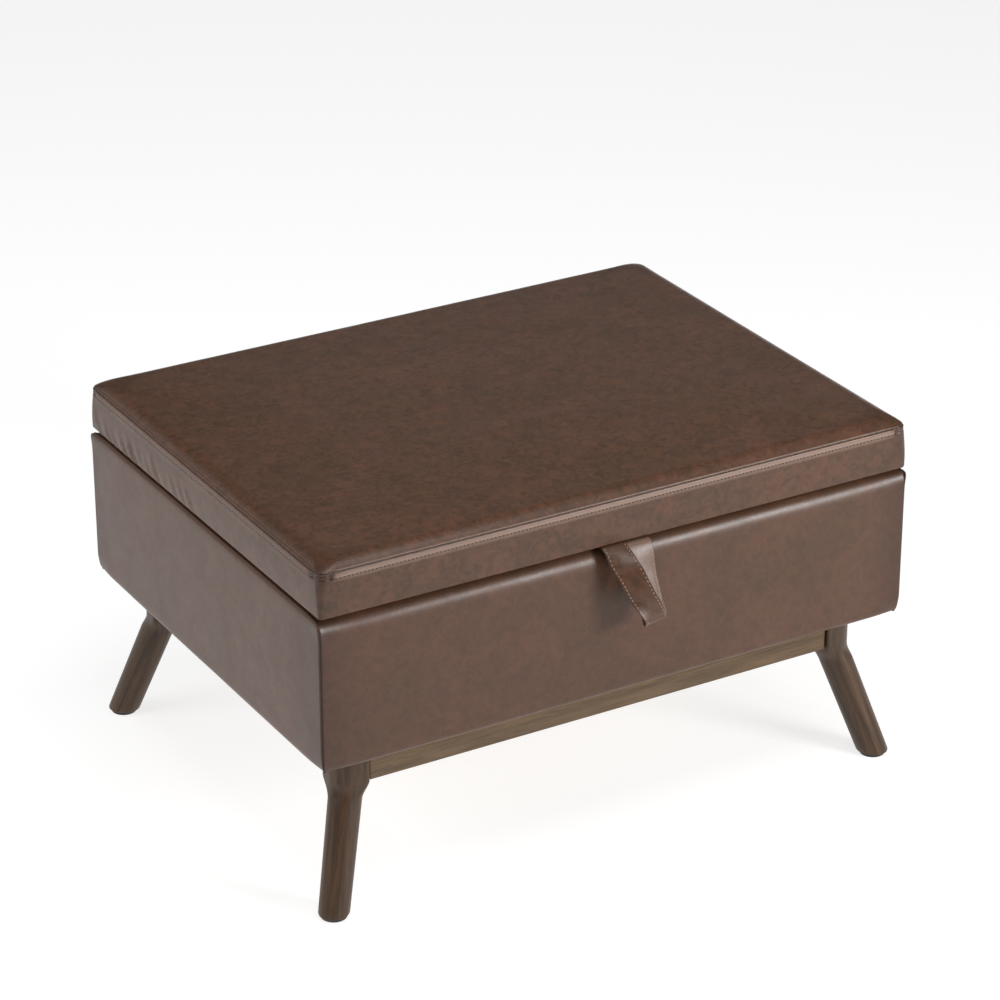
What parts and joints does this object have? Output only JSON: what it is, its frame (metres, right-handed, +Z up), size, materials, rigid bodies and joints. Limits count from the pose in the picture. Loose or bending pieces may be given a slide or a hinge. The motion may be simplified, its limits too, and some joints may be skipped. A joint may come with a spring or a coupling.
{
  "type": "storage ottoman",
  "caption": "Rectangular upholstered storage ottoman: padded lid hinged along the back, leather pull loop, lined box, wooden rails and splayed round legs.",
  "frame": {"origin": "on the floor, under the middle of the whole object with its pull loop; the box is centred 22.9 mm behind it", "axes": "+X along the long side to the right seen from the front, +Y from front to back, +Z up"},
  "size_m": [0.866, 0.7163, 0.5029],
  "materials": {
    "faux_leather": "semi-gloss dark brown faux leather, mottled, fine grain",
    "walnut": "satin walnut stain",
    "plywood": "raw plywood",
    "foam": "cut polyurethane foam",
    "lining_cloth": "black non-woven lining",
    "steel": "zinc-plated steel",
    "buffer_rubber": "matte black rubber",
    "glide_plastic": "matte black plastic"
  },
  "bodies": {
    "box": {"leg_front_left": "walnut", "glide_front_left": "glide_plastic", "corner_brace_front_left": "plywood", "leg_bolt_front_left": "steel", "leg_front_right": "walnut", "glide_front_right": "glide_plastic", "corner_brace_front_right": "plywood", "leg_bolt_front_right": "steel", "leg_back_left": "walnut", "glide_back_left": "glide_plastic", "corner_brace_back_left": "plywood", "leg_bolt_back_left": "steel", "leg_back_right": "walnut", "glide_back_right": "glide_plastic", "corner_brace_back_right": "plywood", "leg_bolt_back_right": "steel", "rail_front": "walnut", "front_panel": "plywood", "box_cover_front": "faux_leather", "rail_back": "walnut", "back_panel": "plywood", "box_cover_back": "faux_leather", "rail_left": "walnut", "left_panel": "plywood", "box_cover_left": "faux_leather", "rail_right": "walnut", "right_panel": "plywood", "box_cover_right": "faux_leather", "bottom_panel": "plywood", "box_padding": "foam", "storage_lining": "lining_cloth", "hinge_left_box_leaf": "steel", "hinge_left_pin": "steel", "stay_left_box_bracket": "steel", "rim_buffer_left": "buffer_rubber", "hinge_right_box_leaf": "steel", "hinge_right_pin": "steel", "stay_right_box_bracket": "steel", "rim_buffer_right": "buffer_rubber"},
    "lid": {"lid_board": "plywood", "lid_foam": "foam", "lid_top_cover": "faux_leather", "lid_underside_cloth": "lining_cloth", "pull_strap_tail": "faux_leather", "lid_band_front": "faux_leather", "lid_band_back": "faux_leather", "lid_band_left": "faux_leather", "lid_band_right": "faux_leather", "hinge_left_lid_leaf": "steel", "hinge_right_lid_leaf": "steel", "stay_left_lid_bracket": "steel", "stay_right_lid_bracket": "steel"},
    "pull_loop": {"pull_strap": "faux_leather"},
    "stay_left_lower": {"stay_left_lower_arm": "steel"},
    "stay_right_lower": {"stay_right_lower_arm": "steel"},
    "stay_left_upper": {"stay_left_upper_arm": "steel"},
    "stay_right_upper": {"stay_right_upper_arm": "steel"}
  },
  "joints": [
    {"name": "lid_hinge", "type": "hinge", "parent": "box", "child": "lid", "pos_m": [0, 0.3549, 0.4245], "axis": [-1, 0, 0], "range_deg": [0, 95]},
    {"name": "pull_loop_swing", "type": "hinge", "parent": "lid", "child": "pull_loop", "pos_m": [0, -0.3066, 0.4245], "axis": [-1, 0, 0], "range_deg": [0, 120]},
    {"name": "stay_left_lower_pivot", "type": "hinge", "parent": "box", "child": "stay_left_lower", "pos_m": [-0.4039, 0.2949, 0.3395], "axis": [-1, 0, 0], "range_deg": [0, 95]},
    {"name": "stay_left_upper_pivot", "type": "hinge", "parent": "lid", "child": "stay_left_upper", "pos_m": [-0.4016, 0.1549, 0.411], "axis": [1, 0, 0], "range_deg": [0, 95]},
    {"name": "stay_right_lower_pivot", "type": "hinge", "parent": "box", "child": "stay_right_lower", "pos_m": [0.4039, 0.2949, 0.3395], "axis": [-1, 0, 0], "range_deg": [0, 95]},
    {"name": "stay_right_upper_pivot", "type": "hinge", "parent": "lid", "child": "stay_right_upper", "pos_m": [0.4016, 0.1549, 0.411], "axis": [1, 0, 0], "range_deg": [0, 95]}
  ],
  "couplings": [
    {"joint": "stay_left_lower_pivot", "follows": "lid_hinge", "ratio": 1},
    {"joint": "stay_left_upper_pivot", "follows": "lid_hinge", "ratio": 1},
    {"joint": "stay_right_lower_pivot", "follows": "lid_hinge", "ratio": 1},
    {"joint": "stay_right_upper_pivot", "follows": "lid_hinge", "ratio": 1}
  ]
}
